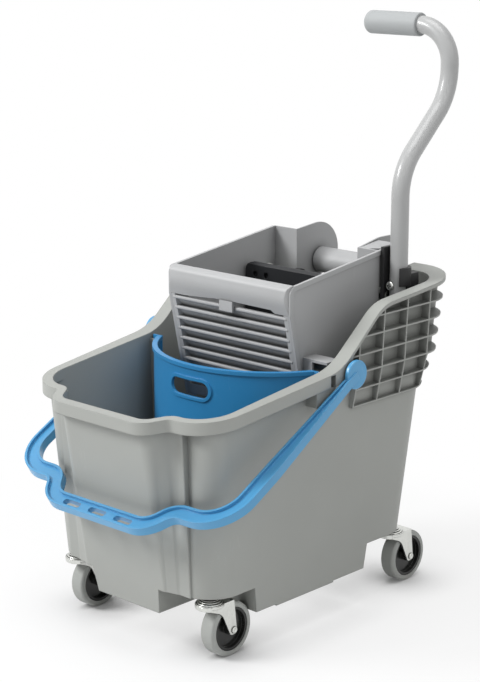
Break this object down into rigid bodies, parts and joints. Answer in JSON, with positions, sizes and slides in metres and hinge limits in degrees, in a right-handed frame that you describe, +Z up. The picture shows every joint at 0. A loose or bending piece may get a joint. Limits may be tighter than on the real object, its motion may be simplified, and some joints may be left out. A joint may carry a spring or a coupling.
{
  "type": "mop bucket trolley",
  "caption": "Wheeled mop bucket with a carrying bail, a lift-out divider and a lever wringer that presses the mop in a slatted hopper.",
  "frame": {"origin": "on the floor, under the middle of the bounding box", "axes": "+Z up, the nose of the tub towards -Y, the lever at the back on the +X side"},
  "size_m": [0.44, 0.626, 0.8678],
  "materials": {
    "tub_grey": "matt moulded polypropylene",
    "wringer_grey": "matt moulded polypropylene",
    "bail_blue": "satin moulded plastic",
    "divider_blue": "satin moulded plastic",
    "bush_white": "plain bearing plastic",
    "press_black": "matt plastic",
    "arm_black": "matt glass-filled plastic",
    "lever_paint": "smooth powder coat on steel tube",
    "grip_grey": "soft satin grip",
    "zinc": "bright zinc plate",
    "hub_black": "matt moulded nylon",
    "tyre_grey": "non-marking grey rubber"
  },
  "bodies": {
    "trolley": {"bucket_tub": "tub_grey", "castor_front_left_race": "zinc", "castor_front_left_stud": "zinc", "castor_front_right_race": "zinc", "castor_front_right_stud": "zinc", "castor_rear_left_race": "zinc", "castor_rear_left_stud": "zinc", "castor_rear_right_race": "zinc", "castor_rear_right_stud": "zinc"},
    "bail": {"bail_handle": "bail_blue"},
    "divider": {"divider_panel": "divider_blue"},
    "wringer": {"wringer_body": "wringer_grey", "wringer_grille": "wringer_grey", "wringer_sieve": "wringer_grey", "hanger_beam": "wringer_grey", "shaft_bush_left": "bush_white", "shaft_bush_right": "bush_white"},
    "press": {"press_plate": "press_black", "press_carriage": "wringer_grey", "press_screws": "zinc"},
    "lever": {"torque_shaft": "zinc", "crank_fingers": "arm_black", "lever_arm": "arm_black", "lever_tube": "lever_paint", "lever_grip": "grip_grey", "lever_screws": "zinc"},
    "front_left_fork": {"castor_front_left_fork": "zinc", "castor_front_left_axle": "zinc"},
    "front_left_wheel": {"castor_front_left_hub": "hub_black", "castor_front_left_tyre": "tyre_grey"},
    "front_right_fork": {"castor_front_right_fork": "zinc", "castor_front_right_axle": "zinc"},
    "front_right_wheel": {"castor_front_right_hub": "hub_black", "castor_front_right_tyre": "tyre_grey"},
    "rear_left_fork": {"castor_rear_left_fork": "zinc", "castor_rear_left_axle": "zinc"},
    "rear_left_wheel": {"castor_rear_left_hub": "hub_black", "castor_rear_left_tyre": "tyre_grey"},
    "rear_right_fork": {"castor_rear_right_fork": "zinc", "castor_rear_right_axle": "zinc"},
    "rear_right_wheel": {"castor_rear_right_hub": "hub_black", "castor_rear_right_tyre": "tyre_grey"}
  },
  "joints": [
    {"name": "bail_swing", "type": "hinge", "parent": "trolley", "child": "bail", "pos_m": [0, 0.01318, 0.381], "axis": [-1, 0, 0], "range_deg": [0, 134]},
    {"name": "divider_lift", "type": "slide", "parent": "trolley", "child": "divider", "axis": [0, 0, 1], "range_m": [0, 0.28]},
    {"name": "wringer_lift", "type": "slide", "parent": "trolley", "child": "wringer", "axis": [0, 0, 1], "range_m": [0, 0.04]},
    {"name": "lever_pull", "type": "hinge", "parent": "wringer", "child": "lever", "pos_m": [0, 0.17818, 0.457], "axis": [-1, 0, 0], "range_deg": [0, 46]},
    {"name": "press_slide", "type": "slide", "parent": "wringer", "child": "press", "axis": [0, -1, 0], "range_m": [0, 0.07234]},
    {"name": "front_left_swivel", "type": "hinge", "parent": "trolley", "child": "front_left_fork", "pos_m": [-0.135, -0.21532, 0.0825], "axis": [0, 0, 1], "continuous": true},
    {"name": "front_left_roll", "type": "hinge", "parent": "front_left_fork", "child": "front_left_wheel", "pos_m": [-0.135, -0.18332, 0.04], "axis": [1, 0, 0], "continuous": true},
    {"name": "front_right_swivel", "type": "hinge", "parent": "trolley", "child": "front_right_fork", "pos_m": [0.135, -0.21532, 0.0825], "axis": [0, 0, 1], "continuous": true},
    {"name": "front_right_roll", "type": "hinge", "parent": "front_right_fork", "child": "front_right_wheel", "pos_m": [0.135, -0.18332, 0.04], "axis": [1, 0, 0], "continuous": true},
    {"name": "rear_left_swivel", "type": "hinge", "parent": "trolley", "child": "rear_left_fork", "pos_m": [-0.135, 0.18418, 0.0825], "axis": [0, 0, 1], "continuous": true},
    {"name": "rear_left_roll", "type": "hinge", "parent": "rear_left_fork", "child": "rear_left_wheel", "pos_m": [-0.135, 0.21618, 0.04], "axis": [1, 0, 0], "continuous": true},
    {"name": "rear_right_swivel", "type": "hinge", "parent": "trolley", "child": "rear_right_fork", "pos_m": [0.135, 0.18418, 0.0825], "axis": [0, 0, 1], "continuous": true},
    {"name": "rear_right_roll", "type": "hinge", "parent": "rear_right_fork", "child": "rear_right_wheel", "pos_m": [0.135, 0.21618, 0.04], "axis": [1, 0, 0], "continuous": true}
  ],
  "couplings": [
    {"joint": "press_slide", "follows": "lever_pull", "m_per_rad": 0.090098}
  ]
}
